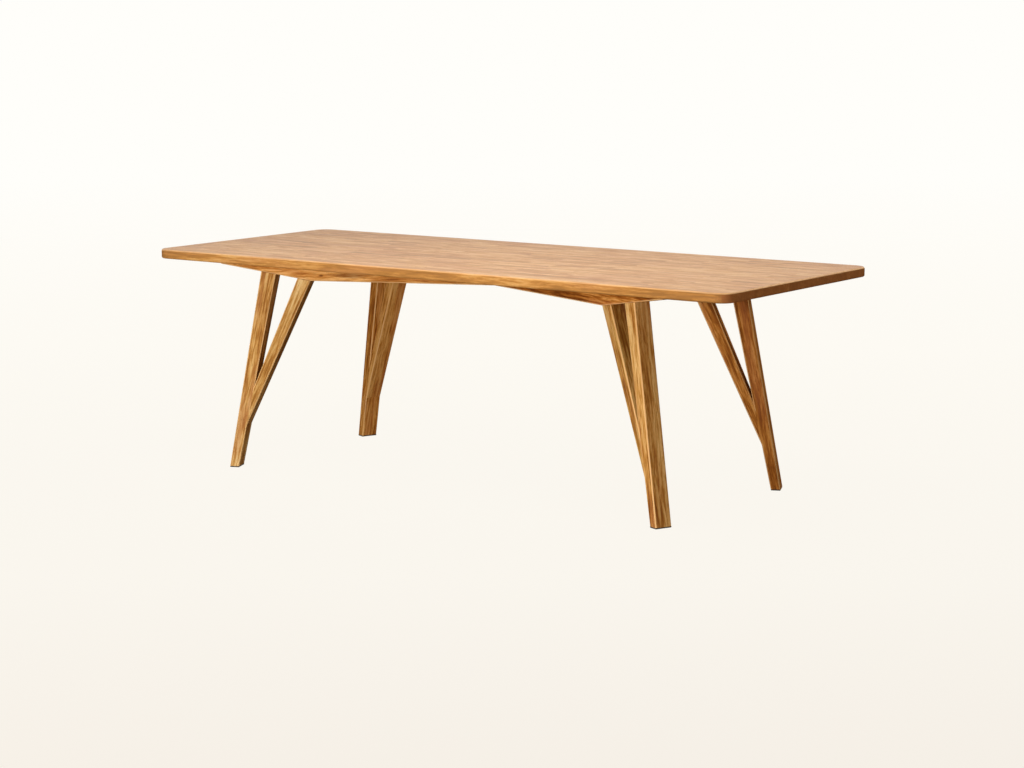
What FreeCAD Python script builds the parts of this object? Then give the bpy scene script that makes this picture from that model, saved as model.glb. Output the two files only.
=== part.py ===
import FreeCAD, Part
import os
import Sketcher
from FreeCAD import Placement, Rotation, Vector

# A dining table of solid hickory, built as the real one is built.
# The top is a slab of edge-glued strips. It is screwed from below to two beams that cross in an X.
# A forked leg stands near each end of each beam: a main leg down to the floor, and an inner brace
# that is scarfed to the leg low down and meets the beam further in.
#
# Millimetres. X runs along the table, Y from the front to the back, Z up.
# The origin is on the floor, under the middle of the top.
# Reach is the distance from the table's middle, level and along a beam.

doc = FreeCAD.newDocument("hickory_table")

# Driving dimensions, one spreadsheet cell each

DIMENSIONS = [
    ("table_height", 750, "floor to the top's upper face"),
    ("top_length", 2286, "along X"),
    ("top_width", 914, "along Y"),
    ("top_thickness", 32, "finished slab"),
    ("top_corner", 50, "radius of the slab's corners in plan"),
    ("top_arris", 6, "radius of the slab's eased edges"),
    ("strip_count", 17, "strips glued edge to edge"),
    ("beam_angle", 22.8, "degrees between a beam and X"),
    ("beam_width", 60, "beam across"),
    ("beam_depth", 61, "beam at its deep middle"),
    ("beam_overhang", 139, "end of the beam past the leg's head"),
    ("beam_tip_depth", 9, "depth left at the beam's end"),
    ("frame_arris", 5, "radius of the eased edges of beams, legs and braces"),
    ("leg_thickness", 60, "leg and brace across"),
    ("leg_head_reach", 836, "outer edge of the leg, level with the beam's flat underside"),
    ("leg_splay", 119, "how much further out the leg's outer edge is at the floor"),
    ("foot_width", 33, "leg at the floor, along the reach"),
    ("leg_head_width", 54, "leg at that level"),
    ("fork_opening", 77, "between leg and brace at that level"),
    ("brace_head_width", 51, "brace at that level"),
    ("crotch_height", 292, "where the brace leaves the leg"),
    ("brace_toe_height", 150, "lower tip of the brace"),
    ("tenon_thickness", 20, "tenons of legs and braces, across"),
    ("leg_tenon_width", 30, "along the reach"),
    ("brace_tenon_width", 28, "along the reach"),
    ("tenon_root", 12, "how far below the beam's flat underside the tenons take root"),
    ("mortise_cover", 14, "wood left in the beam above a mortise"),
    ("tenon_end_gap", 0.5, "room above a tenon"),
    ("glue_gap", 0.1, "room for glue on the sides of tenons, laps and dowels"),
    ("pad_thickness", 4, "pad under a foot"),
    ("pad_inset", 1, "pad in from the foot's edges"),
    ("dowel_diameter", 8, "dowels across the scarf"),
    ("dowel_length", 30, "dowels"),
    ("dowel_brace_depth", 12, "part of a dowel's length that is in the brace"),
    ("dowel_chamfer", 1, "dowel's ends"),
    ("dowel_end_gap", 0.5, "room past each end of a dowel"),
    ("dowel_drop", 27, "upper dowel below the crotch"),
    ("dowel_spacing", 28, "between the dowels' heights"),
    ("screw_shank", 5, "diameter"),
    ("screw_length", 42, "under the head"),
    ("screw_point", 7, "tapered tip"),
    ("screw_head", 10, "diameter"),
    ("screw_head_height", 3.5, "head"),
    ("screw_head_bevel", 1, "head's rounded rim"),
    ("screw_socket", 2.8, "square drive, across"),
    ("screw_socket_depth", 2, "square drive"),
    ("washer_diameter", 16, "washer"),
    ("washer_hole", 5.6, "diameter"),
    ("washer_thickness", 1.5, "washer"),
    ("counterbore", 18, "diameter of the pocket for a washer"),
    ("screw_slack_hole", 9, "diameter, so that the top can move with the seasons"),
    ("screw_grip", 16, "beam left between a washer and the top"),
    ("pilot_gap", 0.05, "room round a screw in its pilot hole"),
    ("pilot_end_gap", 1, "room past a screw's tip"),
    ("inner_screw_reach", 150, "top screws nearest to the lap"),
    ("middle_screw_setback", 171, "top screws before the braces, in from the brace's head"),
    ("outer_screw_offset", 49, "top screws outside the legs, out from the leg's head"),
    ("lap_screw_sink", 14, "lap screw's bearing face above the beam's underside"),
    ("cutter_reach", 100, "how far a cut runs out past the wood"),
]

# Coordinates closer than this are taken as the same, in mm
SAME_PLACE = 0.01

sheet = doc.addObject("Spreadsheet::Sheet", "Sizes")
for row, (alias, size, note) in enumerate(DIMENSIONS, start=1):
    sheet.set(f"A{row}", str(size))
    sheet.set(f"B{row}", note)
    sheet.setAlias(f"A{row}", alias)
doc.recompute()

# Expressions that several pieces share

UNDERSIDE = "(Sizes.table_height - Sizes.top_thickness)"
BEAM_BOTTOM = f"({UNDERSIDE} - Sizes.beam_depth)"
BEAM_TIP_BOTTOM = f"({UNDERSIDE} - Sizes.beam_tip_depth)"
LEG_TENON_REACH = "(Sizes.leg_head_reach - Sizes.leg_head_width / 2)"
LEG_HEAD_INNER_REACH = "(Sizes.leg_head_reach - Sizes.leg_head_width)"
BRACE_HEAD_OUTER_REACH = f"({LEG_HEAD_INNER_REACH} - Sizes.fork_opening)"
BRACE_TENON_REACH = f"({BRACE_HEAD_OUTER_REACH} - Sizes.brace_head_width / 2)"
BEAM_FLAT_REACH = f"({BRACE_HEAD_OUTER_REACH} - Sizes.brace_head_width)"
BEAM_REACH = "(Sizes.leg_head_reach + Sizes.beam_overhang)"
MORTISE_CEILING = f"({UNDERSIDE} - Sizes.mortise_cover)"
FOOT_REACH = "(Sizes.leg_head_reach + Sizes.leg_splay)"
FOOT_INNER_REACH = f"({FOOT_REACH} - Sizes.foot_width)"
LEG_LEAN = f"(({FOOT_INNER_REACH} - {LEG_HEAD_INNER_REACH}) / {BEAM_BOTTOM})"
LEG_OUTER_LEAN = f"(Sizes.leg_splay / {BEAM_BOTTOM})"
TOP_SCREW_SEAT = f"({UNDERSIDE} - Sizes.screw_grip - Sizes.washer_thickness)"
TOP_PILOT_TOP = f"({TOP_SCREW_SEAT} + Sizes.screw_length + Sizes.pilot_end_gap)"
LAP_SCREW_SEAT = f"({BEAM_BOTTOM} + Sizes.lap_screw_sink)"
PILOT_RADIUS = "(Sizes.screw_shank / 2 + Sizes.pilot_gap)"
SCREW_REACHES = [
    "Sizes.inner_screw_reach",
    f"({BEAM_FLAT_REACH} - Sizes.middle_screw_setback)",
    "(Sizes.leg_head_reach + Sizes.outer_screw_offset)",
]

# Corner names and the direction of the half beam that runs towards each, from X towards Y

CORNERS = {
    "front_left": "(180 + Sizes.beam_angle)",
    "front_right": "(0 - Sizes.beam_angle)",
    "back_right": "(Sizes.beam_angle)",
    "back_left": "(180 - Sizes.beam_angle)",
}


def number(expression):
    """Value of an expression, as a plain number."""
    result = sheet.evalExpression(expression)
    return float(getattr(result, "Value", result))


def point(corner):
    """Point on a sketch from a pair of expressions."""
    return Vector(number(corner[0]), number(corner[1]), 0)


def label(item, name):
    item.Label = name
    return item


def turn_about_z(item, degrees):
    """Turn a finished piece about the table's middle."""
    item.Placement = Placement(Vector(0, 0, 0), Rotation(Vector(0, 0, 1), number(degrees)))
    item.setExpression("Placement.Rotation.Angle", f"{degrees} * 1deg")


def add_sketch(body, plane_role, height="0", turn="0"):
    """Sketch on one of the body's own origin planes, raised and turned by expressions."""
    sketch = body.newObject("Sketcher::SketchObject", f"{body.Name}_sketch")
    plane = next(item for item in body.Origin.OriginFeatures if item.Role == plane_role)
    sketch.AttachmentSupport = (plane, [""])
    sketch.MapMode = "FlatFace"
    sketch.setExpression("AttachmentOffset.Base.z", height)
    sketch.setExpression("AttachmentOffset.Rotation.Angle", f"{turn} * 1deg")
    return sketch


def constrain_point(sketch, geometry, vertex, corner):
    """Hold a vertex at a pair of expressions from the sketch's origin."""
    for direction, expression in zip(("DistanceX", "DistanceY"), corner):
        constraint = Sketcher.Constraint(direction, -1, 1, geometry, vertex, number(expression))
        index = sketch.addConstraint(constraint)
        sketch.setExpression(f"Constraints[{index}]", expression)


def add_loop(sketch, starts):
    """Closed chain of straight lines through the given start points."""
    first = sketch.GeometryCount
    count = len(starts)
    for index in range(count):
        line = Part.LineSegment(starts[index], starts[(index + 1) % count])
        sketch.addGeometry(line, False)
    for index in range(count):
        following = first + (index + 1) % count
        sketch.addConstraint(Sketcher.Constraint("Coincident", first + index, 2, following, 1))
    return first


def add_outline(sketch, corners):
    """Closed outline whose corners are all pairs of expressions."""
    first = add_loop(sketch, [point(corner) for corner in corners])
    for index, corner in enumerate(corners):
        constrain_point(sketch, first + index, 1, corner)


def add_rectangle(sketch, low_x, high_x, low_y, high_y):
    add_outline(sketch, [(low_x, low_y), (high_x, low_y), (high_x, high_y), (low_x, high_y)])


def add_circle(sketch, reach, radius):
    """Circle on the sketch's own first axis."""
    centre = Vector(number(reach), 0, 0)
    index = sketch.addGeometry(Part.Circle(centre, Vector(0, 0, 1), number(radius)), False)
    constrain_point(sketch, index, 3, (reach, "0"))
    size = sketch.addConstraint(Sketcher.Constraint("Radius", index, number(radius)))
    sketch.setExpression(f"Constraints[{size}]", radius)


def pad(body, sketch, length, midplane=False):
    feature = body.newObject("PartDesign::Pad", f"{body.Name}_pad")
    feature.Profile = sketch
    feature.Midplane = midplane
    feature.setExpression("Length", length)
    body.Tip = feature
    doc.recompute()
    return feature


def pocket(body, sketch, length=None, upwards=False):
    """Cut down from the sketch, or up. With no length it cuts through everything."""
    before = body.Shape.Volume
    feature = body.newObject("PartDesign::Pocket", f"{body.Name}_pocket")
    feature.Profile = sketch
    feature.Reversed = upwards
    if length is None:
        feature.Type = "ThroughAll"
    else:
        feature.setExpression("Length", length)
    body.Tip = feature
    doc.recompute()
    if body.Shape.Volume >= before:
        raise RuntimeError(f"{feature.Name} cuts nothing")
    return feature


def fillet(body, feature, radius, wanted):
    """Round the edges of the last feature that the function wanted picks."""
    names = [f"Edge{index}" for index, edge in enumerate(feature.Shape.Edges, start=1) if wanted(edge)]
    rounding = body.newObject("PartDesign::Fillet", f"{body.Name}_fillet")
    rounding.Base = (feature, names)
    rounding.setExpression("Radius", radius)
    body.Tip = rounding
    doc.recompute()
    return rounding


def near(first, second):
    """Whether two coordinates are the same."""
    return abs(first - second) < SAME_PLACE


def turned_body(name, outline):
    """Body turned about its own Z axis from an outline of radius and height pairs."""
    body = doc.addObject("PartDesign::Body", name)
    sketch = add_sketch(body, "XZ_Plane")
    add_outline(sketch, outline)
    feature = body.newObject("PartDesign::Revolution", f"{name}_turning")
    feature.Profile = sketch
    feature.ReferenceAxis = (sketch, ["V_Axis"])
    body.Tip = feature
    doc.recompute()
    return body


def move_to(item, x, y, z):
    for axis, expression in zip("xyz", (x, y, z)):
        item.setExpression(f"Placement.Base.{axis}", expression)


def group(name, members):
    """One node of separate solids."""
    compound = doc.addObject("Part::Compound", name)
    compound.Links = members
    return label(compound, name)


def boolean(kind, name, base, tool):
    result = doc.addObject(f"Part::{kind}", name)
    result.Base = base
    result.Tool = tool
    return result


# Top slab, glued up, eased all round and drilled for its screws

def make_slab():
    body = doc.addObject("PartDesign::Body", "slab")
    sketch = add_sketch(body, "XY_Plane", UNDERSIDE)
    half_length = "Sizes.top_length / 2"
    half_width = "Sizes.top_width / 2"
    add_rectangle(sketch, f"-{half_length}", half_length, f"-{half_width}", half_width)
    blank = pad(body, sketch, "Sizes.top_thickness")

    def is_upright(edge):
        return near(abs(edge.tangentAt(edge.FirstParameter).z), 1)

    def is_on_a_face(edge):
        heights = [vertex.Z for vertex in edge.Vertexes]
        return near(min(heights), max(heights))

    cornered = fillet(body, blank, "Sizes.top_corner", is_upright)
    fillet(body, cornered, "Sizes.top_arris", is_on_a_face)
    for turn in CORNERS.values():
        pilots = add_sketch(body, "XY_Plane", UNDERSIDE, turn)
        for reach in SCREW_REACHES:
            add_circle(pilots, reach, PILOT_RADIUS)
        pocket(body, pilots, f"{TOP_PILOT_TOP} - {UNDERSIDE}", upwards=True)
    return body


def make_strips(slab):
    """Each strip is the part of the slab between two glue lines."""
    strips = []
    count = round(number("Sizes.strip_count"))
    for index in range(count):
        name = f"top_strip_{index + 1:02d}"
        zone = doc.addObject("Part::Box", f"{name}_zone")
        zone.setExpression("Length", "Sizes.top_length + 2 * Sizes.cutter_reach")
        zone.setExpression("Width", "Sizes.top_width / Sizes.strip_count")
        zone.setExpression("Height", "Sizes.top_thickness + 2 * Sizes.cutter_reach")
        move_to(
            zone,
            "-Sizes.top_length / 2 - Sizes.cutter_reach",
            f"Sizes.top_width * ({index} / Sizes.strip_count - 1 / 2)",
            f"{UNDERSIDE} - Sizes.cutter_reach",
        )
        strips.append(label(boolean("Common", name, slab, zone), name))
    return strips


# Cross beams, half-lapped where they meet

def make_beam(name, turn, lap_turn, lap_top):
    """Beam along X that is turned at the end. Its lap notch runs down from lap_top."""
    body = doc.addObject("PartDesign::Body", name)
    sketch = add_sketch(body, "XZ_Plane")
    add_outline(sketch, [
        (f"-{BEAM_REACH}", UNDERSIDE),
        (f"-{BEAM_REACH}", BEAM_TIP_BOTTOM),
        (f"-{BEAM_FLAT_REACH}", BEAM_BOTTOM),
        (BEAM_FLAT_REACH, BEAM_BOTTOM),
        (BEAM_REACH, BEAM_TIP_BOTTOM),
        (BEAM_REACH, UNDERSIDE),
    ])
    blank = pad(body, sketch, "Sizes.beam_width", midplane=True)

    def is_eased(edge):
        """Long lower edges and the upright edges at both ends."""
        ends = edge.Vertexes
        across = not near(ends[0].Y, ends[1].Y)
        on_top = all(near(vertex.Z, number(UNDERSIDE)) for vertex in ends)
        return not across and not on_top

    fillet(body, blank, "Sizes.frame_arris", is_eased)
    half_mortise = "(Sizes.tenon_thickness / 2 + Sizes.glue_gap)"
    for end_turn in ("0", "180"):
        mortises = add_sketch(body, "XY_Plane", MORTISE_CEILING, end_turn)
        for reach, width in (
            (LEG_TENON_REACH, "Sizes.leg_tenon_width"),
            (BRACE_TENON_REACH, "Sizes.brace_tenon_width"),
        ):
            half_width = f"({width} / 2 + Sizes.glue_gap)"
            low, high = f"{reach} - {half_width}", f"{reach} + {half_width}"
            add_rectangle(mortises, low, high, f"-{half_mortise}", half_mortise)
        pocket(body, mortises)
        slack_holes = add_sketch(body, "XY_Plane", UNDERSIDE, end_turn)
        counterbores = add_sketch(body, "XY_Plane", f"{UNDERSIDE} - Sizes.screw_grip", end_turn)
        for reach in SCREW_REACHES:
            add_circle(slack_holes, reach, "Sizes.screw_slack_hole / 2")
            add_circle(counterbores, reach, "Sizes.counterbore / 2")
        pocket(body, slack_holes)
        pocket(body, counterbores)

    lap = add_sketch(body, "XY_Plane", lap_top, lap_turn)
    half_lap = "(Sizes.beam_width / 2 + Sizes.glue_gap)"
    add_rectangle(lap, f"-{BEAM_REACH}", BEAM_REACH, f"-{half_lap}", half_lap)
    pocket(body, lap, "Sizes.beam_depth / 2")
    turn_about_z(body, turn)
    return label(body, name)


def drill_lap(over, under):
    """The lap screw turns freely in the lower beam and bites in the upper one."""
    through = add_sketch(under, "XY_Plane", UNDERSIDE)
    add_circle(through, "0", "Sizes.screw_shank / 2 + Sizes.glue_gap")
    pocket(under, through)
    sink = add_sketch(under, "XY_Plane", LAP_SCREW_SEAT)
    add_circle(sink, "0", "Sizes.screw_head / 2 + Sizes.pilot_end_gap")
    pocket(under, sink)
    pilot_end = f"{LAP_SCREW_SEAT} + Sizes.screw_length + Sizes.pilot_end_gap"
    pilot = add_sketch(over, "XY_Plane", pilot_end)
    add_circle(pilot, "0", PILOT_RADIUS)
    pocket(over, pilot)


# Forked legs. Each fork is drawn along X in the plane of its beam, glued up, eased, and then
# split along the scarf into the leg and the brace.

def leg_inner_reach(height):
    return f"({FOOT_INNER_REACH} - {LEG_LEAN} * {height})"


def leg_outer_reach(height):
    return f"({FOOT_REACH} - {LEG_OUTER_LEAN} * {height})"


def meeting(first_start, first_end, second_start, second_end):
    """Point where two lines, given by pairs of expressions, cross."""
    start, end = point(first_start), point(first_end)
    other, other_end = point(second_start), point(second_end)
    along, across = end - start, other_end - other
    apart = other - start
    share = (apart.x * across.y - apart.y * across.x) / (along.x * across.y - along.y * across.x)
    return start + along * share


def make_fork(name):
    body = doc.addObject("PartDesign::Body", name)
    sketch = add_sketch(body, "XZ_Plane")
    taper_start = (BEAM_FLAT_REACH, BEAM_BOTTOM)
    taper_end = (BEAM_REACH, BEAM_TIP_BOTTOM)
    leg_inner = ((FOOT_INNER_REACH, "0"), (LEG_HEAD_INNER_REACH, BEAM_BOTTOM))
    leg_outer = ((FOOT_REACH, "0"), ("Sizes.leg_head_reach", BEAM_BOTTOM))
    brace_head = (BRACE_HEAD_OUTER_REACH, BEAM_BOTTOM)
    crotch = (leg_inner_reach("Sizes.crotch_height"), "Sizes.crotch_height")
    toe = (leg_inner_reach("Sizes.brace_toe_height"), "Sizes.brace_toe_height")
    foot_outer = (leg_outer_reach("Sizes.pad_thickness"), "Sizes.pad_thickness")
    foot_inner = (leg_inner_reach("Sizes.pad_thickness"), "Sizes.pad_thickness")

    # The upper corners lie where the edges meet the beam's rising underside. Helper lines drawn
    # along the beam and along the edges hold them there.
    heads = [
        meeting(taper_start, taper_end, brace_head, crotch),
        meeting(taper_start, taper_end, *leg_inner),
        meeting(taper_start, taper_end, *leg_outer),
    ]
    starts = [point(foot_outer), point(foot_inner), point(toe), point(taper_start)]
    starts += [heads[0], point(crotch), heads[1], heads[2]]
    first = add_loop(sketch, starts)
    fixed = {0: foot_outer, 1: foot_inner, 2: toe, 3: taper_start, 5: crotch}
    for index, corner in fixed.items():
        constrain_point(sketch, first + index, 1, corner)
    helpers = []
    for start, end in ((taper_start, taper_end), (brace_head, crotch), leg_inner, leg_outer):
        line = sketch.addGeometry(Part.LineSegment(point(start), point(end)), True)
        constrain_point(sketch, line, 1, start)
        constrain_point(sketch, line, 2, end)
        helpers.append(line)
    for vertex_line, edge_line in ((4, helpers[1]), (6, helpers[2]), (7, helpers[3])):
        for line in (helpers[0], edge_line):
            sketch.addConstraint(Sketcher.Constraint("PointOnObject", first + vertex_line, 1, line))
    blank = pad(body, sketch, "Sizes.leg_thickness", midplane=True)

    def is_eased(edge):
        """Edges along the legs and braces, but not round their heads and feet."""
        ends = edge.Vertexes
        across = not near(ends[0].Y, ends[1].Y)
        rise = abs(ends[0].Z - ends[1].Z)
        return not across and rise > number("Sizes.leg_head_width")

    fillet(body, blank, "Sizes.frame_arris", is_eased)
    tenons = add_sketch(body, "XZ_Plane")
    for reach, width in (
        (LEG_TENON_REACH, "Sizes.leg_tenon_width"),
        (BRACE_TENON_REACH, "Sizes.brace_tenon_width"),
    ):
        low, high = f"{reach} - {width} / 2", f"{reach} + {width} / 2"
        root = f"{BEAM_BOTTOM} - Sizes.tenon_root"
        add_rectangle(tenons, low, high, root, f"{MORTISE_CEILING} - Sizes.tenon_end_gap")
    pad(body, tenons, "Sizes.tenon_thickness", midplane=True)
    return body


def make_dowel(name, height):
    """Dowel square to the leg's inner edge, at the given height on the scarf."""
    radius = "Sizes.dowel_diameter / 2"
    body = turned_body(name, [
        ("0", "0"),
        (f"{radius} - Sizes.dowel_chamfer", "0"),
        (radius, "Sizes.dowel_chamfer"),
        (radius, "Sizes.dowel_length - Sizes.dowel_chamfer"),
        (f"{radius} - Sizes.dowel_chamfer", "Sizes.dowel_length"),
        ("0", "Sizes.dowel_length"),
    ])
    lay_across_scarf(body, height, "Sizes.dowel_brace_depth")
    return body


def make_dowel_hole(name, height):
    hole = doc.addObject("Part::Cylinder", name)
    hole.setExpression("Radius", "Sizes.dowel_diameter / 2 + Sizes.glue_gap")
    hole.setExpression("Height", "Sizes.dowel_length + 2 * Sizes.dowel_end_gap")
    lay_across_scarf(hole, height, "Sizes.dowel_brace_depth + Sizes.dowel_end_gap")
    return hole


def lay_across_scarf(item, height, depth):
    """Point the piece's Z axis from the brace into the leg, with depth of it in the brace."""
    lean = f"atan({LEG_LEAN})"
    from_vertical = number(f"90 - {lean} / 1deg")
    item.Placement = Placement(Vector(0, 0, 0), Rotation(Vector(0, 1, 0), from_vertical))
    item.setExpression("Placement.Rotation.Angle", f"90deg - {lean}")
    move_to(
        item,
        f"{leg_inner_reach(height)} - ({depth}) * cos({lean})",
        "0",
        f"{height} - ({depth}) * sin({lean})",
    )


def make_corner(corner, turn):
    """Leg, brace, dowels and pad of one corner."""
    fork = make_fork(f"fork_{corner}")
    leg_side = make_leg_side(f"leg_side_{corner}")
    upper = "(Sizes.crotch_height - Sizes.dowel_drop)"
    lower = f"({upper} - Sizes.dowel_spacing)"
    holes = doc.addObject("Part::MultiFuse", f"dowel_holes_{corner}")
    holes.Shapes = [
        make_dowel_hole(f"upper_hole_{corner}", upper),
        make_dowel_hole(f"lower_hole_{corner}", lower),
    ]
    outer_part = boolean("Common", f"outer_part_{corner}", fork, leg_side)
    inner_part = boolean("Cut", f"inner_part_{corner}", fork, leg_side)
    leg = boolean("Cut", f"leg_{corner}", outer_part, holes)
    brace = boolean("Cut", f"brace_{corner}", inner_part, holes)
    dowels = doc.addObject("Part::Compound", f"dowels_{corner}")
    dowels.Links = [
        make_dowel(f"upper_dowel_{corner}", upper),
        make_dowel(f"lower_dowel_{corner}", lower),
    ]
    foot_pad = make_foot_pad(f"foot_pad_{corner}")
    for piece in (leg, brace, dowels, foot_pad):
        turn_about_z(piece, turn)
    label(leg, f"leg_{corner}")
    label(brace, f"brace_{corner}")
    label(foot_pad, f"foot_pad_{corner}")
    return leg, brace, foot_pad, dowels


def make_leg_side(name):
    """Everything on the leg's side of its inner edge, as a cutter."""
    body = doc.addObject("PartDesign::Body", name)
    sketch = add_sketch(body, "XZ_Plane")
    outside = f"{FOOT_REACH} + Sizes.cutter_reach"
    low = "-Sizes.cutter_reach"
    high = "Sizes.table_height"
    add_outline(sketch, [
        (leg_inner_reach(f"({low})"), low),
        (outside, low),
        (outside, high),
        (leg_inner_reach(high), high),
    ])
    pad(body, sketch, "Sizes.leg_thickness + 2 * Sizes.cutter_reach", midplane=True)
    return body


def make_foot_pad(name):
    body = doc.addObject("PartDesign::Body", name)
    sketch = add_sketch(body, "XY_Plane")
    low = f"{leg_inner_reach('Sizes.pad_thickness')} + Sizes.pad_inset"
    high = f"{leg_outer_reach('Sizes.pad_thickness')} - Sizes.pad_inset"
    half_width = "(Sizes.leg_thickness / 2 - Sizes.pad_inset)"
    add_rectangle(sketch, low, high, f"-{half_width}", half_width)
    pad(body, sketch, "Sizes.pad_thickness")
    return body


# Screws and washers. A screw stands on its head, with its tip up.

def make_screw(name):
    head = "Sizes.screw_head / 2"
    shank = "Sizes.screw_shank / 2"
    tip = "(Sizes.screw_head_height + Sizes.screw_length)"
    body = turned_body(name, [
        ("0", "0"),
        (f"{head} - Sizes.screw_head_bevel", "0"),
        (head, "Sizes.screw_head_bevel"),
        (head, "Sizes.screw_head_height"),
        (shank, "Sizes.screw_head_height"),
        (shank, f"{tip} - Sizes.screw_point"),
        ("0", tip),
    ])
    socket = add_sketch(body, "XY_Plane")
    half_socket = "Sizes.screw_socket / 2"
    add_rectangle(socket, f"-{half_socket}", half_socket, f"-{half_socket}", half_socket)
    pocket(body, socket, "Sizes.screw_socket_depth", upwards=True)
    return body


def make_washer(name):
    hole = "Sizes.washer_hole / 2"
    rim = "Sizes.washer_diameter / 2"
    return turned_body(name, [
        (hole, "0"),
        (rim, "0"),
        (rim, "Sizes.washer_thickness"),
        (hole, "Sizes.washer_thickness"),
    ])


def make_top_fixings():
    screws = []
    washers = []
    for corner, turn in CORNERS.items():
        for index, reach in enumerate(SCREW_REACHES, start=1):
            x = f"{reach} * cos({turn} * 1deg)"
            y = f"{reach} * sin({turn} * 1deg)"
            screw = make_screw(f"top_screw_{corner}_{index}")
            move_to(screw, x, y, f"{TOP_SCREW_SEAT} - Sizes.screw_head_height")
            screws.append(screw)
            washer = make_washer(f"top_washer_{corner}_{index}")
            move_to(washer, x, y, TOP_SCREW_SEAT)
            washers.append(washer)
    return group("top_screws", screws), group("top_screw_washers", washers)


def make_lap_screw():
    screw = make_screw("lap_screw")
    move_to(screw, "0", "0", f"{LAP_SCREW_SEAT} - Sizes.screw_head_height")
    return label(screw, "lap_screw")


def check_objects():
    """Stop if any object of the document failed."""
    for item in doc.Objects:
        if "Invalid" in item.State or "Error" in item.State:
            raise RuntimeError(f"{item.Name} failed: {item.State}")


def check_piece(piece):
    if piece.Shape.isNull() or not piece.Shape.isValid() or not piece.Shape.Solids:
        raise RuntimeError(f"{piece.Label} has no valid solid")


pieces = make_strips(make_slab())
LAP_MIDDLE = f"({UNDERSIDE} - Sizes.beam_depth / 2)"
beam_over = make_beam("cross_beam_over", "Sizes.beam_angle", "(-2 * Sizes.beam_angle)", LAP_MIDDLE)
beam_under = make_beam("cross_beam_under", "-Sizes.beam_angle", "(2 * Sizes.beam_angle)", UNDERSIDE)
drill_lap(beam_over, beam_under)
pieces += [beam_over, beam_under]
dowel_pairs = []
for corner_name, corner_turn in CORNERS.items():
    *corner_pieces, corner_dowels = make_corner(corner_name, corner_turn)
    pieces += corner_pieces
    dowel_pairs.append(corner_dowels)
pieces.append(group("scarf_dowels", dowel_pairs))
pieces += make_top_fixings()
pieces.append(make_lap_screw())
doc.recompute()

check_objects()
for piece in pieces:
    check_piece(piece)
os.makedirs("parts", exist_ok=True)
for piece in pieces:
    piece.Shape.exportStep(f"parts/{piece.Label}.step")
print(len(pieces), "nodes,", sum(len(piece.Shape.Solids) for piece in pieces), "solids")
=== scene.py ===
import math

import bpy
import numpy as np
from mathutils import Matrix, Vector


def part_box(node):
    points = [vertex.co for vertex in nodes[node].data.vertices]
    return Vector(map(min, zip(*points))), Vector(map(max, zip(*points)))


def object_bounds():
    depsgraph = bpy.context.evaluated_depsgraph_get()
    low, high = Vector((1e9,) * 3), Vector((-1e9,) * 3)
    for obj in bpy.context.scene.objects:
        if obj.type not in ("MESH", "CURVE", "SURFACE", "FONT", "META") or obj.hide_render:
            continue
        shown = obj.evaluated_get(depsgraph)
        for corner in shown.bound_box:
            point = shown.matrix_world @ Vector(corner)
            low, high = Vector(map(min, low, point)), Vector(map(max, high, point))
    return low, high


# A dining table of solid hickory, oiled to a satin sheen. Every piece keeps its own solid, and
# this script gives each one the wood, steel or rubber that the real table has.

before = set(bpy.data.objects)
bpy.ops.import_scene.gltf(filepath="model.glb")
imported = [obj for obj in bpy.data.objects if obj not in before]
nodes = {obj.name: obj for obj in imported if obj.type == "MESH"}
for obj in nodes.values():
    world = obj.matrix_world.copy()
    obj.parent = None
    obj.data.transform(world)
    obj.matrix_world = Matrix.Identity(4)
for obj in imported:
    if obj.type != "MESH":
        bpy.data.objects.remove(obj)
cad_low, cad_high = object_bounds()

# Sizes in metres, in the table's own frame. A reach is level and along a beam, from the table's
# middle. Legs and braces are given by the middle line of their wood.

TOP_STRIPS = sorted(name for name in nodes if name.startswith("top_strip_"))
STRIP_WIDTH = (cad_high.y - cad_low.y) / len(TOP_STRIPS)
SLAB_MIDDLE = (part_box(TOP_STRIPS[0])[0].z + cad_high.z) / 2
BEAM_ANGLE = math.radians(22.8)
BEAM_REACH = 1.0
BEAM_MIDDLE_HEIGHT = 0.6875
LEG_FOOT_REACH = 0.9385
LEG_HEAD_REACH = 0.809
BRACE_TOE_REACH = 0.88
BRACE_HEAD_REACH = 0.6795
TOE_HEIGHT = 0.19
HEAD_HEIGHT = 0.657
CORNERS = {
    "front_left": math.pi + BEAM_ANGLE,
    "front_right": -BEAM_ANGLE,
    "back_right": BEAM_ANGLE,
    "back_left": math.pi - BEAM_ANGLE,
}

# Figure of the hickory, in metres: across the grain, then along it. Real rings are about 3 mm
# apart and real pores 0.3 mm wide. Both are drawn nearly three times as coarse, so that they show.

RING_SPACING = 0.008
RING_SWAY = 0.02
RING_TAPER = 0.02
RING_STOPS = ((0, "#2c2c2c"), (0.12, "#bcbcbc"), (0.7, "#8c8c8c"), (1, "#2c2c2c"))
SWAY_SIZE = (0.11, 0.45)
FIBRE_SIZE = (0.0065, 0.085)
FIBRE_SWAY = 0.05
PORE_SIZE = (0.0009, 0.022)
STREAK_SIZE = (0.01, 0.24)
BAND_SIZE = (0.035, 0.34)
HEART_NEAREST = (0, 0.02, 0.03)
HEART_FARTHEST = (0, 0.07, 0.09)
BOARD_SHIFT = 8

# What each part of the figure adds to the darkness, in which 0 is pale sapwood and 1 is the brown
# of a mineral streak

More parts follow.
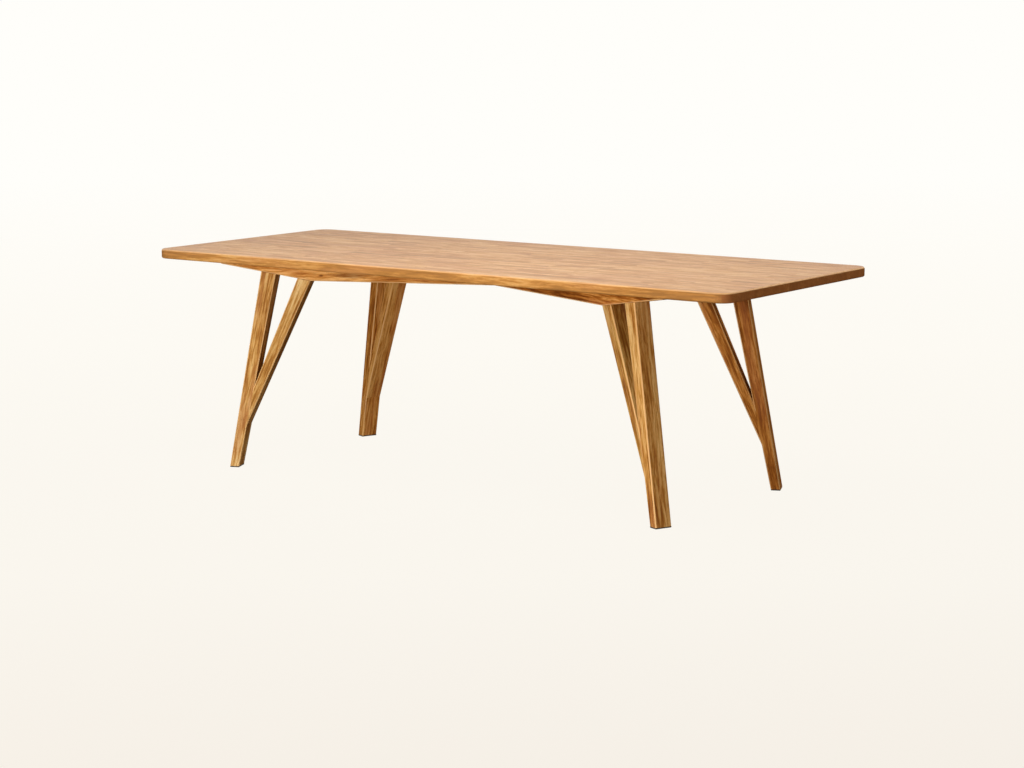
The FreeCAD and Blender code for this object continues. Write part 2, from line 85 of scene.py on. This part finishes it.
SHADE_WEIGHTS = {"bands": 1.3, "streak": 0.3, "ring": -0.22, "fibre": 0.42}
WOOD_STOPS = ((0, "#f6d59e"), (0.3, "#d6a35d"), (0.58, "#a76b2c"), (1, "#4a210a"))
FLUSH_COLOUR = "#bf805a"
FLUSH_SHARE = 0.42
PORE_COLOUR = "#43240e"
PORE_SHARE = 0.45
END_GRAIN_COLOUR = "#a86c44"
END_GRAIN_SHARE = 0.6
# Pale colour of the arrises: partly wear, partly a painted highlight
WORN_AND_HIGHLIGHT_COLOUR = "#f9d39a"
KNOT_COLOUR = "#4a220c"
OIL_COLOUR = "#d08a45"
FILM_COLOUR = "#e8a468"
FILM_SHARE = 0.03

# The knot in a beam's front face, then the brown grain that trails from it: how far from the
# knot's place, in the beam's own frame, one over the ellipse's half axes, and how deep the brown

KNOT_PLACE = Vector((-0.5564, -0.2665, 0.676))
KNOT_MARKS = (
    (Vector((0, 0, 0)), (1 / 0.011, 0, 1 / 0.0045), 0.85),
    (Vector((0.1, 0, 0.003)), (1 / 0.09, 0, 1 / 0.012), 0.6),
)

# Staves of the top, in metres. Those of the two outer rows run the whole length.

STAVE_LENGTH = 0.21
STAVE_LENGTH_SPREAD = 0.16
OUTER_STAVE_LENGTH = 9.0
ROW_START = -3.0
TOP_SEED = 10.0

# Boards of the frame: tone, seed and tint. Boards differ in how dark and how red they are. Part of
# this is painted shade: the back legs and braces and the under beam have warmer tints, and the
# back right leg and the under beam darker tones, for the shade under the slab.

LEG_LOOKS = {
    "front_left": (-0.18, 401, "#f3fdff"),
    "front_right": (-0.31, 11002, "#fcfdf4"),
    "back_right": (-0.09, 11203, "#fff3dc"),
    "back_left": (-0.27, 704, "#fff0d0"),
}
BRACE_LOOKS = {
    "front_left": (-0.22, 421, "#f0fcff"),
    "front_right": (-0.24, 9622, "#f2fdf2"),
    "back_right": (-0.14, 223, "#fff3dc"),
    "back_left": (-0.46, 24, "#fff0d0"),
}
BEAM_LOOKS = {
    "cross_beam_over": (BEAM_ANGLE, (-0.21, 340, "#fff8ec"), KNOT_PLACE),
    # Darker tone and warm tint: partly its own wood, partly painted shade of the slab
    "cross_beam_under": (-BEAM_ANGLE, (0.05, 341, "#fff0d8"), None),
}

# Kinds of node that are used often, and the sockets of a colour Mix

MATH = "ShaderNodeMath"
VECTOR_MATH = "ShaderNodeVectorMath"
MAP_RANGE = "ShaderNodeMapRange"
COLOUR_RAMP = "ShaderNodeValToRGB"
COORDINATES = "ShaderNodeTexCoord"
MIX = "ShaderNodeMix"
FACTOR, FIRST, SECOND = 0, 6, 7
MIXED = 2


def linear(hex_colour):
    """sRGB hex string as linear red, green, blue and 1."""
    parts = np.array([int(hex_colour[i:i + 2], 16) for i in (1, 3, 5)]) / 255
    flat = np.where(parts <= 0.04045, parts / 12.92, ((parts + 0.055) / 1.055) ** 2.4)
    return (*flat.tolist(), 1)


def add(tree, kind, inputs=(), stops=(), **settings):
    """Node with its settings and links.

    Inputs are given in order, or by name or number. Each is a value, another node or one of its
    sockets. Stops are a colour ramp's positions and hex colours, in rising order.
    """
    node = tree.nodes.new(kind)
    for name, value in settings.items():
        setattr(node, name, value)
    for socket, value in inputs.items() if isinstance(inputs, dict) else enumerate(inputs):
        if isinstance(value, bpy.types.Node):
            value = value.outputs[0]
        if isinstance(value, bpy.types.NodeSocket):
            tree.links.new(value, node.inputs[socket])
        else:
            node.inputs[socket].default_value = value
    for index, (position, colour) in enumerate(stops):
        elements = node.color_ramp.elements
        if index == len(elements):
            elements.new(position)
        elements[index].position = position
        elements[index].color = linear(colour)
    return node


def new_material(name):
    """Empty node material, and its tree."""
    material = bpy.data.materials.new(name)
    material.use_nodes = True
    material.node_tree.nodes.clear()
    return material, material.node_tree


def stretched_noise(tree, spot, size, **inputs):
    """Noise whose blotches have about the size given, across the grain and along it."""
    width, length = size
    spread = add(tree, VECTOR_MATH, (spot, (1 / length, 1 / width, 1 / width)),
                 operation="MULTIPLY")
    return add(tree, "ShaderNodeTexNoise", {"Vector": spread, "Scale": 1.0, **inputs})


# Oiled hickory. Oil makes it honey brown, with paler sapwood, darker streaks, rosy flushes and
# short dark pores along the grain. The sheen is satin, and the colour of the oil.

def grain_figure(tree, spot, from_heart, shift):
    """Rings, fibres, pores, streaks and bands of a board whose grain runs along spot's X.

    The ring number at a point is its distance from the tree's heart, plus a slow sway and a taper
    along the grain, over the ring spacing. Each ring is pale in its middle and darker at its
    edges. The rest is noise that is stretched along the grain and bent by the same sway.
    """
    board = add(tree, VECTOR_MATH, (spot, shift), operation="ADD")
    sway = stretched_noise(tree, board, SWAY_SIZE, Detail=2.0)
    bend = (0, FIBRE_SWAY, FIBRE_SWAY)
    waved = add(tree, VECTOR_MATH, (sway.outputs["Color"], bend, board), operation="MULTIPLY_ADD")

    around = add(tree, VECTOR_MATH, (from_heart, (0, 1, 1)), operation="MULTIPLY")
    radius = add(tree, VECTOR_MATH, (around,), operation="LENGTH").outputs["Value"]
    along = add(tree, "ShaderNodeSeparateXYZ", (spot,)).outputs["X"]
    tapered = add(tree, MATH, (along, RING_TAPER, radius), operation="MULTIPLY_ADD")
    swayed = add(tree, MATH, (sway, RING_SWAY, tapered), operation="MULTIPLY_ADD")
    ring_number = add(tree, MATH, (swayed, RING_SPACING), operation="DIVIDE")
    through_ring = add(tree, MATH, (ring_number,), operation="FRACT")

    fibres = stretched_noise(tree, waved, FIBRE_SIZE, Detail=3.0, Roughness=0.65)
    pores = stretched_noise(tree, waved, PORE_SIZE, Detail=1.0)
    streaks = stretched_noise(tree, waved, STREAK_SIZE, Detail=3.0)
    flushes = stretched_noise(tree, from_heart, BAND_SIZE, Detail=2.0)
    return {
        "ring": add(tree, COLOUR_RAMP, (through_ring,), stops=RING_STOPS),
        "bands": stretched_noise(tree, board, BAND_SIZE, Detail=2.0),
        "fibres": fibres,
        "fibre": add(tree, MAP_RANGE, (fibres, 0.34, 0.66, -0.5, 0.5),
                     interpolation_type="SMOOTHSTEP"),
        "pore": add(tree, MAP_RANGE, (pores, 0.6, 0.7, 0.0, 1.0),
                    interpolation_type="SMOOTHSTEP"),
        "streak": add(tree, MAP_RANGE, (streaks, 0.52, 0.72, 0.0, 1.0),
                      interpolation_type="SMOOTHSTEP"),
        "flush": add(tree, MAP_RANGE, (flushes, 0.48, 0.66, 0.0, FLUSH_SHARE),
                     interpolation_type="SMOOTHSTEP"),
    }


def wood_colour(tree, figure, tone):
    """Colour for the board's tone plus the weighted sum of its figure, with flushes and pores."""
    shade = tone
    for part, weight in SHADE_WEIGHTS.items():
        shade = add(tree, MATH, (figure[part], weight, shade), operation="MULTIPLY_ADD")
    brown = add(tree, COLOUR_RAMP, (shade,), stops=WOOD_STOPS)
    brown.color_ramp.interpolation = "B_SPLINE"
    flushed = add(tree, MIX, {FACTOR: figure["flush"], FIRST: brown,
                  SECOND: linear(FLUSH_COLOUR)}, data_type="RGBA")
    pore_share = add(tree, MATH, (figure["pore"], PORE_SHARE), operation="MULTIPLY")
    pored = add(tree, MIX, {FACTOR: pore_share, FIRST: flushed.outputs[MIXED],
                SECOND: linear(PORE_COLOUR)}, data_type="RGBA")
    return pored.outputs[MIXED]


def ends_and_arrises(tree, colour, bands, along, side, end_turn, wear_and_highlight):
    """Colour with darker end grain, which drinks more oil, and paler arrises, partly worn and
    partly a painted highlight.

    End grain is where the normal's part along the grain is more than end_turn. An arris is where
    the square of the normal's part along side is well away from both 0 and 1.
    """
    normal = add(tree, COORDINATES).outputs["Normal"]
    endways = add(tree, VECTOR_MATH, (normal, along), operation="DOT_PRODUCT")
    end_on = add(tree, MATH, (endways.outputs["Value"],), operation="ABSOLUTE")
    end_share = add(tree, MAP_RANGE, (end_on, end_turn - 0.1, end_turn, 0.0, END_GRAIN_SHARE),
                    interpolation_type="SMOOTHSTEP")
    with_ends = add(tree, MIX, {FACTOR: end_share, FIRST: colour,
                    SECOND: linear(END_GRAIN_COLOUR)}, data_type="RGBA")

    sideways = add(tree, VECTOR_MATH, (normal, side), operation="DOT_PRODUCT")
    side_on = add(tree, MATH, (sideways.outputs["Value"], 2.0), operation="POWER")
    off_side = add(tree, MATH, (1.0, side_on), operation="SUBTRACT")
    between = add(tree, MATH, (side_on, off_side), operation="MULTIPLY")
    # Arrises are paled, partly as wear and partly as a painted highlight
    on_arris = add(tree, MAP_RANGE, (between, 0.03, 0.12, 0.0, 1.0),
                   interpolation_type="SMOOTHSTEP")
    patches = add(tree, MAP_RANGE, (bands, 0.35, 0.65, 0.55, 1.0),
                  interpolation_type="SMOOTHSTEP")
    rubbed_and_highlit = add(tree, MATH, (patches, wear_and_highlight), operation="MULTIPLY")
    worn_and_highlit = add(tree, MATH, (on_arris, rubbed_and_highlit), operation="MULTIPLY")
    with_wear_and_highlight = add(tree, MIX, {FACTOR: worn_and_highlit, FIRST: with_ends.outputs[MIXED],
                    SECOND: linear(WORN_AND_HIGHLIGHT_COLOUR)}, data_type="RGBA")
    return with_wear_and_highlight.outputs[MIXED]


def with_knot(tree, colour, spot, knot):
    """Colour with the knot's marks: ellipses that fade from their middle to their edge."""
    for offset, reach, depth in KNOT_MARKS:
        off_mark = add(tree, VECTOR_MATH, (spot, knot + offset), operation="SUBTRACT")
        spread = add(tree, VECTOR_MATH, (off_mark, reach), operation="MULTIPLY")
        away = add(tree, VECTOR_MATH, (spread,), operation="LENGTH").outputs["Value"]
        in_mark = add(tree, MAP_RANGE, (away, 0.3, 1.0, depth, 0.0),
                      interpolation_type="SMOOTHSTEP")
        colour = add(tree, MIX, {FACTOR: in_mark, FIRST: colour, SECOND: linear(KNOT_COLOUR)},
                     data_type="RGBA").outputs[MIXED]
    return colour


def oiled(tree, colour, figure, gloss):
    """Satin shader of oiled wood: raised fibres, sunken pores and a thin film of warm oil."""
    roughness = add(tree, MAP_RANGE, (figure["fibres"], 0.3, 0.7, 0.4, 0.54),
                    interpolation_type="SMOOTHSTEP")
    height = add(tree, MATH, (figure["fibres"], figure["pore"]), operation="SUBTRACT")
    bump = add(tree, "ShaderNodeBump", {"Strength": 0.25, "Distance": 0.0004, "Height": height})
    wood = add(tree, "ShaderNodeBsdfPrincipled", {
        "Base Color": colour, "Roughness": roughness, "IOR": 1.48,
        "Specular IOR Level": gloss, "Specular Tint": linear(OIL_COLOUR), "Normal": bump,
    })
    film = add(tree, "ShaderNodeBsdfGlossy", {
        "Color": linear(FILM_COLOUR), "Roughness": 0.42, "Normal": bump,
    })
    return add(tree, "ShaderNodeMixShader", (FILM_SHARE, wood, film))


def wood_along(name, start, end, side, tone, seed, tint, knot=None):
    """Hickory for one beam, leg or brace whose grain runs from start to end.

    Its own frame has X along the grain, Y across its flat side and Z square to both.
    """
    material, tree = new_material(name)
    along = (end - start).normalized()
    turn = Matrix((along, side, along.cross(side).normalized()))
    middle = turn @ ((start + end) / 2)
    place = add(tree, COORDINATES).outputs["Object"]
    spot = add(tree, "ShaderNodeMapping", {
        "Vector": place, "Rotation": turn.to_euler(), "Location": -middle,
    })
    draw = np.random.default_rng(seed)
    heart = draw.uniform(HEART_NEAREST, HEART_FARTHEST) * draw.choice((-1, 1), 3)
    from_heart = add(tree, VECTOR_MATH, (spot, heart.tolist()), operation="ADD")
    shift = draw.uniform(-BOARD_SHIFT, BOARD_SHIFT, 3).tolist()

    figure = grain_figure(tree, spot, from_heart, shift)
    tinted = add(tree, MIX, {FACTOR: 1.0, FIRST: wood_colour(tree, figure, tone),
                 SECOND: linear(tint)}, data_type="RGBA", blend_type="MULTIPLY")
    colour = ends_and_arrises(tree, tinted.outputs[MIXED], figure["bands"], along, side, 0.5, 0.9)
    if knot:
        colour = with_knot(tree, colour, spot, turn @ knot - middle)
    add(tree, "ShaderNodeOutputMaterial", {"Surface": oiled(tree, colour, figure, 0.0)})
    return material


def draw_staves(tree, place):
    """Rows counted from the front edge, and each stave's own random colour and value.

    A row's number is the whole part of the distance from the front edge over the strip's width.
    A stave's is the whole part of the distance along the row, with a slow wobble and the row's
    own random push, over the row's own stave length.
    """
    from_front = add(tree, MATH, (place.outputs["Y"], cad_low.y), operation="SUBTRACT")
    rows = add(tree, MATH, (from_front, STRIP_WIDTH), operation="DIVIDE")
    row = add(tree, MATH, (rows,), operation="FLOOR")
    row_draw = add(tree, "ShaderNodeTexWhiteNoise", {"W": row}, noise_dimensions="1D")
    own = add(tree, "ShaderNodeSeparateColor", {0: row_draw.outputs["Color"]}).outputs

    short = add(tree, MATH, (own["Red"], STAVE_LENGTH_SPREAD, STAVE_LENGTH),
                operation="MULTIPLY_ADD")
    off_middle = add(tree, MATH, (place.outputs["Y"],), operation="ABSOLUTE")
    outermost = add(tree, MATH, (off_middle, cad_high.y - STRIP_WIDTH), operation="GREATER_THAN")
    length = add(tree, MATH, (outermost, OUTER_STAVE_LENGTH, short), operation="MULTIPLY_ADD")

    along_row = add(tree, MATH, (place.outputs["X"], ROW_START), operation="SUBTRACT")
    wobble_spot = add(tree, MATH, (own["Blue"], 40.0, along_row), operation="MULTIPLY_ADD")
    wobble = add(tree, "ShaderNodeTexNoise", {"W": wobble_spot, "Scale": 3.0, "Detail": 0.0},
                 noise_dimensions="1D")
    wobbled = add(tree, MATH, (wobble, 0.35, along_row), operation="MULTIPLY_ADD")
    pushed = add(tree, MATH, (wobbled, own["Green"]), operation="ADD")
    staves = add(tree, MATH, (pushed, length), operation="DIVIDE")
    stave = add(tree, MATH, (staves,), operation="FLOOR")
    numbers = add(tree, "ShaderNodeCombineXYZ", (row, stave, TOP_SEED))
    draw = add(tree, "ShaderNodeTexWhiteNoise", {"Vector": numbers}, noise_dimensions="3D")
    return rows, draw.outputs


def top_wood():
    """Hickory staves of the top, in rows as wide as a strip.

    Each stave draws its tone, its heart and its place in the tree. The slab's sides show edge
    grain, which took more oil than the sanded face. Only the upper arrises are paled, partly as
    wear and partly as a painted highlight, and those of the two ends most. The last coat of oil
    veils the figure.
    """
    material, tree = new_material("oiled_hickory_top")
    place = add(tree, "ShaderNodeSeparateXYZ", (add(tree, COORDINATES).outputs["Object"],))
    rows, draw = draw_staves(tree, place)
    shift = add(tree, VECTOR_MATH, (draw["Color"], (9, 9, 9)), operation="MULTIPLY")

    # The stave's own middle, and the heart of its tree below and beside it
    in_row = add(tree, MATH, (rows,), operation="FRACT")
    across = add(tree, MATH, (in_row, STRIP_WIDTH, -STRIP_WIDTH / 2), operation="MULTIPLY_ADD")
    up = add(tree, MATH, (place.outputs["Z"], SLAB_MIDDLE), operation="SUBTRACT")
    spot = add(tree, "ShaderNodeCombineXYZ", (place.outputs["X"], across, up))
    heart = add(tree, "ShaderNodeMapping", {
        "Vector": draw["Color"], "Scale": (0, 0.16, 0.1), "Location": (0, -0.08, 0.02),
    })
    from_heart = add(tree, VECTOR_MATH, (spot, heart), operation="ADD")

    facing = add(tree, "ShaderNodeSeparateXYZ", (add(tree, COORDINATES).outputs["Normal"],))
    own_tone = add(tree, MAP_RANGE, (draw["Value"], 0.0, 1.0, -0.34, -0.18))
    face_up = add(tree, MAP_RANGE, (facing.outputs["Z"], 0.2, 0.8, 0.0, 1.0),
                  interpolation_type="SMOOTHSTEP")
    tone = add(tree, MATH, (face_up, -0.33, add(tree, MATH, (own_tone, 0.33), operation="ADD")),
               operation="MULTIPLY_ADD")
    gloss = add(tree, MATH, (face_up, 0.5), operation="MULTIPLY")
    veil = add(tree, MIX, {FACTOR: face_up, FIRST: linear("#c89c5e"), SECOND: linear("#dcb596")},
               data_type="RGBA")
    # Upper arrises, most at the ends, are paled: partly wear, partly a painted highlight
    endways = add(tree, MATH, (facing.outputs["X"],), operation="ABSOLUTE")
    end_wear_and_highlight = add(tree, MAP_RANGE, (endways, 0.3, 0.7, 0.3, 1.0),
                   interpolation_type="SMOOTHSTEP")
    upper = add(tree, MAP_RANGE, (facing.outputs["Z"], 0.0, 0.2, 0.0, 1.0),
                interpolation_type="SMOOTHSTEP")
    wear_and_highlight = add(tree, MATH, (end_wear_and_highlight, upper), operation="MULTIPLY")

    figure = grain_figure(tree, spot, from_heart, shift)
    veiled = add(tree, MIX, {FACTOR: 0.4, FIRST: wood_colour(tree, figure, tone),
                 SECOND: veil.outputs[MIXED]}, data_type="RGBA")
    colour = ends_and_arrises(tree, veiled.outputs[MIXED], figure["bands"], (1, 0, 0), (0, 0, 1),
                              0.58, wear_and_highlight)
    add(tree, "ShaderNodeOutputMaterial", {"Surface": oiled(tree, colour, figure, gloss)})
    return material


def plain_finish(name, dark, light, grain_size, roughness, metallic=0.0, ior=1.5):
    """Fine even mottle between two colours, with a faint bump of the same grain."""
    material, tree = new_material(name)
    place = add(tree, COORDINATES).outputs["Object"]
    grain = add(tree, "ShaderNodeTexNoise", {
        "Vector": place, "Scale": 1 / grain_size, "Detail": 3.0,
    })
    colour = add(tree, COLOUR_RAMP, (grain,), stops=((0.3, dark), (0.7, light)))
    bump = add(tree, "ShaderNodeBump", {"Strength": 0.3, "Distance": 0.0002, "Height": grain})
    shine = add(tree, MAP_RANGE, (grain, 0.3, 0.7, roughness, roughness + 0.12),
                interpolation_type="SMOOTHSTEP")
    shader = add(tree, "ShaderNodeBsdfPrincipled", {
        "Base Color": colour, "Roughness": shine, "Metallic": metallic, "IOR": ior,
        "Normal": bump,
    })
    add(tree, "ShaderNodeOutputMaterial", {"Surface": shader})
    return material


def dress(name, material):
    """Give a node its finish."""
    for slot in nodes[name].material_slots:
        slot.material = material


def on_corner(angle, reach, height):
    """Point at that reach along the half beam that runs out at that angle."""
    return Vector((reach * math.cos(angle), reach * math.sin(angle), height))


def across_beam(angle):
    """Level direction across the half beam that runs out at that angle."""
    return Vector((-math.sin(angle), math.cos(angle), 0))


staves = top_wood()
for name in TOP_STRIPS:
    dress(name, staves)

for corner, angle in CORNERS.items():
    foot = on_corner(angle, LEG_FOOT_REACH, 0)
    leg_head = on_corner(angle, LEG_HEAD_REACH, HEAD_HEIGHT)
    toe = on_corner(angle, BRACE_TOE_REACH, TOE_HEIGHT)
    brace_head = on_corner(angle, BRACE_HEAD_REACH, HEAD_HEIGHT)
    for name, start, end, look in (
        (f"leg_{corner}", foot, leg_head, LEG_LOOKS[corner]),
        (f"brace_{corner}", toe, brace_head, BRACE_LOOKS[corner]),
    ):
        dress(name, wood_along(f"oiled_hickory_{name}", start, end, across_beam(angle), *look))

for name, (angle, look, knot) in BEAM_LOOKS.items():
    start = on_corner(angle, -BEAM_REACH, BEAM_MIDDLE_HEIGHT)
    end = on_corner(angle, BEAM_REACH, BEAM_MIDDLE_HEIGHT)
    wood = wood_along(f"oiled_hickory_{name}", start, end, across_beam(angle), *look, knot)
    dress(name, wood)

# Turned beech, for the dowels: pale, even and unfinished
dress("scarf_dowels", plain_finish("turned_beech", "#c9a878", "#e2c79c", 0.0006, 0.6))

# Zinc-plated steel, for screws and washers: grey with a soft bluish gloss
zinc = plain_finish("zinc_plated_steel", "#a4a7a8", "#c9cbca", 0.0008, 0.32, metallic=1.0)
for name in ("top_screws", "top_screw_washers", "lap_screw"):
    dress(name, zinc)

# Moulded black rubber, for the pads: nearly black and matt
rubber = plain_finish("moulded_black_rubber", "#171311", "#2a2522", 0.0005, 0.7, ior=1.52)
for corner in CORNERS:
    dress(f"foot_pad_{corner}", rubber)


# Studio: a pale floor without a horizon, a dim even room, and four soft lamps. One is low and wide
# in front, one over the top, one far off at the right, and one high behind. The camera was solved
# from the table's edges in the photograph.

WHITE = "#fffefa"
FLOOR_HALF = 120.0
FLOOR_STOPS = ((0, "#f6f0e7"), (0.1, "#faf6ee"), (0.36, "#fefbf4"), (1, WHITE))
BOUNCE_COLOUR = "#9c8c7a"
ROOM_COLOUR = "#ffdcb6"
ROOM_STRENGTH = 0.13
LAMPS = {
    "front_lamp": ((-0.4, -4.5, 0.9), (-0.2, 0, 0.5), (2.4, 0.4), 112, "#fff8ee"),
    "top_lamp": ((0.2, -1.1, 3.0), (0.1, 0, 0.7), (1.6, 1.6), 51, "#fff8f0"),
    "back_lamp": ((2.6, 3.6, 3.2), (0.4, 0.2, 0.5), (1.6, 1.6), 60, "#fff4e4"),
    "right_lamp": ((3.2, -5.9, 1.3), (0, 0, 0.5), (2.4, 1.2), 78, "#ffe2c0"),
}
VIEW_AZIMUTH = 0.629802
VIEW_DROP = 0.139855
VIEW_ROLL = -0.002612
CAMERA_PLACE = (4.677709, -6.564185, 1.59871)
FOCAL_PIXELS = 2416.0491
IMAGE_WIDTH, IMAGE_HEIGHT = 1024, 768
VIEW_CENTRE = (474.20677, 341.63056)


def seen(tree):
    """1 for what the camera sees, also in a shiny or clear surface, and 0 for other light."""
    path = add(tree, "ShaderNodeLightPath").outputs
    seen_or_mirrored = add(tree, MATH, (path["Is Camera Ray"], path["Is Glossy Ray"]),
                           operation="MAXIMUM")
    return add(tree, MATH, (seen_or_mirrored, path["Is Transmission Ray"]), operation="MAXIMUM")


def make_floor():
    """Square sheet of painted board, level with the feet.

    The camera sees the floor as a glow, cream near the viewer and nearly white far off: a painted
    fall-off of light. Most of what the camera sees is this glow, and the rest takes the table's
    shadow.
    """
    mesh = bpy.data.meshes.new("floor")
    corners = np.array([(-1, -1, 0), (1, -1, 0), (1, 1, 0), (-1, 1, 0)]) * FLOOR_HALF
    mesh.from_pydata(corners.tolist(), [], [(0, 1, 2, 3)])
    floor = bpy.data.objects.new("floor", mesh)
    bpy.context.scene.collection.objects.link(floor)

    material, tree = new_material("glowing_floor")
    spot = add(tree, COORDINATES).outputs["Object"]
    away = (-math.sin(VIEW_AZIMUTH), math.cos(VIEW_AZIMUTH), 0)
    depth = add(tree, VECTOR_MATH, (spot, away), operation="DOT_PRODUCT").outputs["Value"]
    from_viewer = add(tree, MAP_RANGE, (depth, -3.2, 14.0, 0.0, 1.0))
    from_table = add(tree, VECTOR_MATH, (spot,), operation="LENGTH").outputs["Value"]
    far_off = add(tree, MAP_RANGE, (from_table, 8.0, 45.0, 0.0, 1.0),
                  interpolation_type="SMOOTHSTEP")
    # Painted fall-off of light: a cream glow near the viewer, white far off
    floor_glow_colour = add(tree, MIX, {
        FACTOR: far_off, FIRST: add(tree, COLOUR_RAMP, (from_viewer,), stops=FLOOR_STOPS),
        SECOND: linear(WHITE),
    }, data_type="RGBA").outputs[MIXED]

    seen_here = seen(tree)
    own_share = add(tree, MAP_RANGE, (from_table, 2.0, 9.0, 0.985, 1.0),
                    interpolation_type="SMOOTHSTEP")
    share = add(tree, MATH, (seen_here, own_share), operation="MULTIPLY")
    matt_colour = add(tree, MIX, {
        FACTOR: seen_here, FIRST: linear(BOUNCE_COLOUR), SECOND: floor_glow_colour,
    }, data_type="RGBA")
    matt = add(tree, "ShaderNodeBsdfDiffuse", {"Color": matt_colour.outputs[MIXED]})
    own = add(tree, "ShaderNodeEmission", {"Color": floor_glow_colour, "Strength": 1.0})
    mixed = add(tree, "ShaderNodeMixShader", (share, matt, own))
    add(tree, "ShaderNodeOutputMaterial", {"Surface": mixed})
    mesh.materials.append(material)


def make_room():
    """World: dim light on the table, and white where the camera or a shiny surface looks at it."""
    world = bpy.data.worlds.new("studio_room")
    world.use_nodes = True
    tree = world.node_tree
    tree.nodes.clear()
    dim = add(tree, "ShaderNodeBackground",
              {"Color": linear(ROOM_COLOUR), "Strength": ROOM_STRENGTH})
    white = add(tree, "ShaderNodeBackground", {"Color": linear(WHITE), "Strength": 1.0})
    mixed = add(tree, "ShaderNodeMixShader", (seen(tree), dim, white))
    add(tree, "ShaderNodeOutputWorld", {"Surface": mixed})
    bpy.context.scene.world = world


def add_lamp(name, place, aim, size, power, colour):
    """Soft lamp, wide and tall as size says, that faces its aim."""
    light = bpy.data.lights.new(name, "AREA")
    light.shape = "RECTANGLE"
    light.size, light.size_y = size
    light.energy = power
    light.color = linear(colour)[:3]
    lamp = bpy.data.objects.new(name, light)
    lamp.location = place
    lamp.rotation_euler = (Vector(aim) - Vector(place)).to_track_quat("-Z", "Y").to_euler()
    bpy.context.scene.collection.objects.link(lamp)


def add_camera():
    """Camera at the photograph's place, turn, focal length and view centre."""
    data = bpy.data.cameras.new("camera")
    data.sensor_fit = "HORIZONTAL"
    data.lens = FOCAL_PIXELS * data.sensor_width / IMAGE_WIDTH
    data.shift_x = (IMAGE_WIDTH / 2 - VIEW_CENTRE[0]) / IMAGE_WIDTH
    data.shift_y = (VIEW_CENTRE[1] - IMAGE_HEIGHT / 2) / IMAGE_WIDTH
    camera = bpy.data.objects.new("camera", data)
    camera.location = CAMERA_PLACE
    swing = Matrix.Rotation(VIEW_AZIMUTH, 4, "Z")
    drop = Matrix.Rotation(math.pi / 2 - VIEW_DROP, 4, "X")
    camera.rotation_euler = (swing @ drop @ Matrix.Rotation(VIEW_ROLL, 4, "Z")).to_euler()
    bpy.context.scene.collection.objects.link(camera)
    bpy.context.scene.camera = camera


make_floor()
make_room()
for name, lamp in LAMPS.items():
    add_lamp(name, *lamp)
add_camera()
bpy.context.scene.view_settings.view_transform = "Standard"
